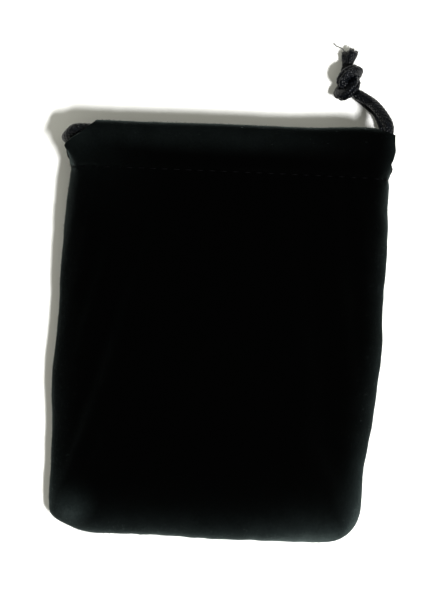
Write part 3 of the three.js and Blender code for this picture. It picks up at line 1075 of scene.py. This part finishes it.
def velvet_material():
    """Black pile with painted sheen that turns it grey towards the edges, with patches that lie different
    ways.
    """
    tint = (0.78, 0.96, 0.93, 1)
    sheen = {"Sheen Weight": 0.3, "Sheen Roughness": 0.3, "Sheen Tint": tint}
    finish = Finish("velvet", Roughness=0.95, Specular_IOR_Level=0, **sheen)
    pile = finish.noise(2600, 4, 0.7)
    patches = finish.noise(210, 5, 0.65)
    # the painted sheen amount kept on the mesh
    worn = finish.node("Attribute")
    worn.attribute_name = "worn"
    uneven = finish.calculate("ADD", finish.calculate("MULTIPLY", patches, 1.1), 0.45)
    grain = finish.calculate("ADD", finish.calculate("MULTIPLY", pile, 1.6), 0.2)
    amount = finish.calculate("MULTIPLY", worn.outputs["Fac"], uneven)
    # painted sheen: the colour goes from black to a cool grey where the painted sheen amount is high
    finish.tone(finish.calculate("MULTIPLY", amount, grain), [
        (0, (0.0003, 0.0003, 0.0003)),
        (1, (0.035, 0.0455, 0.0445)),
        (0.3, (0.0064, 0.0088, 0.0088)),
    ])
    finish.bump(pile, 0.55, 0.14 * MM, finish.bump(patches, 0.35, 0.5 * MM))
    return finish.material


def reverse_material():
    """The knitted ground on the velvet's inner side."""
    finish = Finish("velvet_reverse", Roughness=0.95, Specular_IOR_Level=0.1)
    knit = finish.node("TexWave", Vector=finish.where, Scale=700, Distortion=2.5, Detail=2).outputs["Fac"]
    finish.tone(knit, [(0, (0.003, 0.003, 0.0033)), (1, (0.009, 0.009, 0.01))])
    finish.bump(knit, 0.5, 0.09 * MM)
    return finish.material


def thread_material():
    """Twisted sewing thread, black with a faint shine."""
    finish = Finish("sewing_thread", Roughness=0.55, Specular_IOR_Level=0.015)
    fibres = finish.noise(12000, 2, 0.5)
    finish.tone(fibres, [(0.3, (0.0003, 0.0003, 0.0004)), (0.7, (0.0011, 0.0011, 0.0013))])
    finish.bump(fibres, 0.3, 0.03 * MM)
    return finish.material


# ---------- velvet: its pieces ----------


def sewn_piece(piece, slot, *materials):
    """A piece of the bag, dressed in its materials, with its placing baked into its mesh."""
    dress(piece, slot, *materials)
    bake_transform(piece)
    return piece


FIBRES = 11000  # on each face, along its seams and over the mouth's edge
FIBRE_R = 0.035 * MM


def fibre_places(face, rest, rng):
    """Grid cells and places in them for the fibres, close together near the edges and none elsewhere."""
    du = face[:-1, 1:] - face[:-1, :-1]
    dv = face[1:, :-1] - face[:-1, :-1]
    area = np.linalg.norm(np.cross(du, dv), axis=2)
    gap = from_outline(rest)[:-1, :-1]
    rows = np.arange(len(rest) - 1)[:, None]
    fold = bell((rows - SETTLE_ROWS) * HEM_STEP, 3.2 * MM)
    chance = area * (bell(gap, 2.4 * MM) + fold)
    cell = rng.choice(chance.size, FIBRES, p=(chance / chance.sum()).ravel())
    return np.unravel_index(cell, chance.shape), rng.uniform(0, 1, (2, FIBRES, 1))


def fibre_mesh(name, face, rest, front, rng):
    """Single fibres of the pile, standing out of the cloth where it is seen edge on."""
    (r, c), (u, v) = fibre_places(face, rest, rng)
    foot = (1 - u) * (1 - v) * face[r, c] + u * (1 - v) * face[r, c + 1]
    foot = foot + (1 - u) * v * face[r + 1, c] + u * v * face[r + 1, c + 1]
    way = outward_field(face, rest, front)[r, c]
    along = unit(way + rng.normal(0, 0.4, (FIBRES, 3)) + [0, -0.3, 0])
    side = unit(np.cross(along, rng.normal(0, 1, (FIBRES, 3))))
    other = np.cross(along, side)
    length = rng.uniform(0.22, 0.5, (FIBRES, 1)) * MM
    foot = foot - 0.08 * MM * way
    points = [foot + length * along]
    for turn in (0, 2.1, 4.2):
        points.append(foot + FIBRE_R * (math.cos(turn) * side + math.sin(turn) * other))
    verts = np.stack(points, axis=1).reshape(-1, 3)
    verts[:, 2] = np.maximum(verts[:, 2], 0)
    faces = np.array([[0, 1, 2], [0, 2, 3], [0, 3, 1], [1, 3, 2]])
    faces = (faces[None] + 4 * np.arange(FIBRES)[:, None, None]).reshape(-1, 3)
    piece = mesh_object(name, verts, faces.tolist())
    # the fibres get the same painted sheen as the cloth under them
    mark_painted_sheen(piece, np.repeat(painted_sheen_amount(rest)[r, c], 4))
    return piece


def make_panels(rest, shaped, pile, reverse):
    rng = np.random.default_rng(3)
    for side, base, face, front in zip(("front", "back"), rest, shaped, (True, False)):
        inner = face - outward_field(face, base, front) * CLOTH
        # painted sheen along the edges, kept on both faces for the material
        worn = painted_sheen_amount(base)
        if not front:
            face, inner, worn = face[:, ::-1], inner[:, ::-1], worn[:, ::-1]
        piece = sewn_piece(closed_sheet(f"{side}_velvet", face, inner), "velvet", pile, reverse)
        mark_painted_sheen(piece, np.concatenate([worn.ravel(), worn.ravel()]))
        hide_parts(f"{side}_panel", f"{side}_hem")
        fibres = fibre_mesh(f"{side}_pile", shaped[not front], base, front, rng)
        sewn_piece(fibres, "velvet", pile)


THREAD_R = 0.17 * MM  # drawn tight, a little thinner than in the CAD model
HEM_STITCH = 1.9 * MM
SEAM_PITCH = 2.4 * MM
SEAM_STITCH = 1.7 * MM
SEAM_SUNK = 0.16 * MM  # the seams' stitches lie down in their groove
STITCH_LIFT = np.array([-0.4, -0.16, -0.02, 0.04, 0.06, 0.04, -0.02, -0.16, -0.4]) * MM


def stitch_parts(line, outward, pitch, length, sunk=0.0):
    """Stitches along a line of points: each lies on the cloth and dives into it at both ends."""
    s = lengths_along(line)
    parts = []
    for start in np.arange(0.5 * pitch, s[-1] - length, pitch):
        at = start + length * np.linspace(0, 1, len(STITCH_LIFT))
        out = unit(points_at(at, s, outward))
        path = points_at(at, s, line) + out * (STITCH_LIFT - sunk)[:, None]
        parts.append(tube_parts(path, THREAD_R, 7, carried_normals(path, out[0])))
    return parts


def make_hem_stitches(rest, shaped, thread):
    row = len(PANEL_ROWS)
    for side, base, face, front in zip(("front", "back"), rest, shaped, (True, False)):
        line = face[row, 3:-3]
        outward = outward_field(face, base, front)[row, 3:-3]
        parts = stitch_parts(line, outward, HOLE_PITCH, HEM_STITCH)
        piece = sewn_piece(join_parts(f"{side}_hem_stitches", parts), "sewing_thread", thread)
        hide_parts(f"{side}_hem_thread")


def outward_of(line, turn):
    """The level direction out of the bag at each point of a seam."""
    along = unit(np.gradient(line, axis=0))
    return unit(np.stack([turn * along[:, 1], -turn * along[:, 0], 0 * along[:, 0]], axis=1))


def seam_lines(shaped):
    """Each seam's line of points, and the way out of the bag along it."""
    middle = (shaped[0] + shaped[1]) / 2
    rows = np.flatnonzero(PANEL_ROWS > BOTTOM + 4 * MM)[:-3]
    columns = np.flatnonzero(np.abs(ACROSS) < 0.93)
    lines = {"left": middle[rows, 0], "right": middle[rows, -1], "bottom": middle[0, columns]}
    return {name: (line, outward_of(line, -1 if name == "left" else 1)) for name, line in lines.items()}


ALLOWANCE_TRIM = 5 * MM  # its corners are cut away, so that the bag turns out flat
# Round one layer's section, in millimetres: how far inside the outline, and over the seam's plane
ALLOWANCE_RING = ((1, 0.02), (3, 0.08), (4.9, 0.25), (4.9, 0.75), (3, 0.6), (1, 0.35))
ALLOWANCE_DEPTH = 4.9


def allowance_parts(line, outward, seed):
    """The seam allowance inside the bag: two layers of velvet side by side, a little wavy."""
    s = lengths_along(line)
    at = np.linspace(ALLOWANCE_TRIM, s[-1] - ALLOWANCE_TRIM, 90)
    path = points_at(at, s, line)
    out = points_at(at, s, outward)
    parts = []
    for layer in (1, -1):
        wave = 0.2 * MM * ripple(path[:, 0] + path[:, 1], 0 * path[:, 0], 9 * MM, seed + layer)
        rings = []
        for depth, z in ALLOWANCE_RING:
            lift = layer * z * MM + wave * depth / ALLOWANCE_DEPTH
            rings.append(path - out * depth * MM + np.stack([0 * lift, 0 * lift, lift], axis=1))
        rings = rings if layer > 0 else rings[::-1]
        verts = np.stack(rings, axis=1).reshape(-1, 3)
        parts.append((verts, ring_faces(len(path), len(rings))))
    return parts


def make_seams(shaped, thread, reverse):
    for k, (side, (line, outward)) in enumerate(seam_lines(shaped).items()):
        parts = stitch_parts(line, outward, SEAM_PITCH, SEAM_STITCH, SEAM_SUNK)
        stitches = sewn_piece(join_parts(f"{side}_seam_stitches", parts), "sewing_thread", thread)
        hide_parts(f"{side}_seam_thread")
        layers = allowance_parts(line, outward, 50 + k)
        allowance = sewn_piece(join_parts(f"{side}_allowance", layers), "velvet_reverse", reverse)
        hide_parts(f"{side}_seam_allowance")


def make_bag():
    rest, shaped = shaped_faces()
    reverse = reverse_material()
    thread = thread_material()
    make_panels(rest, shaped, velvet_material(), reverse)
    make_hem_stitches(rest, shaped, thread)
    make_seams(shaped, thread, reverse)


make_bag()


# ---------- studio ----------


FLOOR_HALF = 1.5


def add_floor():
    corners = np.array([[-1, -1, 0], [1, -1, 0], [1, 1, 0], [-1, 1, 0]]) * FLOOR_HALF
    floor = mesh_object("floor", corners, [[0, 1, 2, 3]])
    white = Finish("floor_white", Base_Color=(0.9, 0.9, 0.88, 1), Roughness=0.9)
    floor.data.materials.append(white.material)


def add_area(name, location, size, energy, color):
    data = bpy.data.lights.new(name, "AREA")
    data.shape = "DISK"
    data.size = size
    data.energy = energy
    data.color = color
    lamp = add_object(name, data)
    lamp.location = location
    direction = -np.array(location) / np.linalg.norm(location)
    lamp.rotation_euler = (math.acos(-direction[2]), 0, math.atan2(direction[0], -direction[1]))


def add_studio():
    add_floor()
    world = bpy.data.worlds.new("studio")
    world.use_nodes = True
    background = world.node_tree.nodes["Background"]
    background.inputs["Color"].default_value = (1, 0.995, 0.88, 1)
    background.inputs["Strength"].default_value = 0.45
    bpy.context.scene.world = world
    add_area("key", (0.38, -0.25, 0.8), 0.22, 31, (1, 1, 1))
    bpy.context.scene.view_settings.view_transform = "Standard"


add_studio()
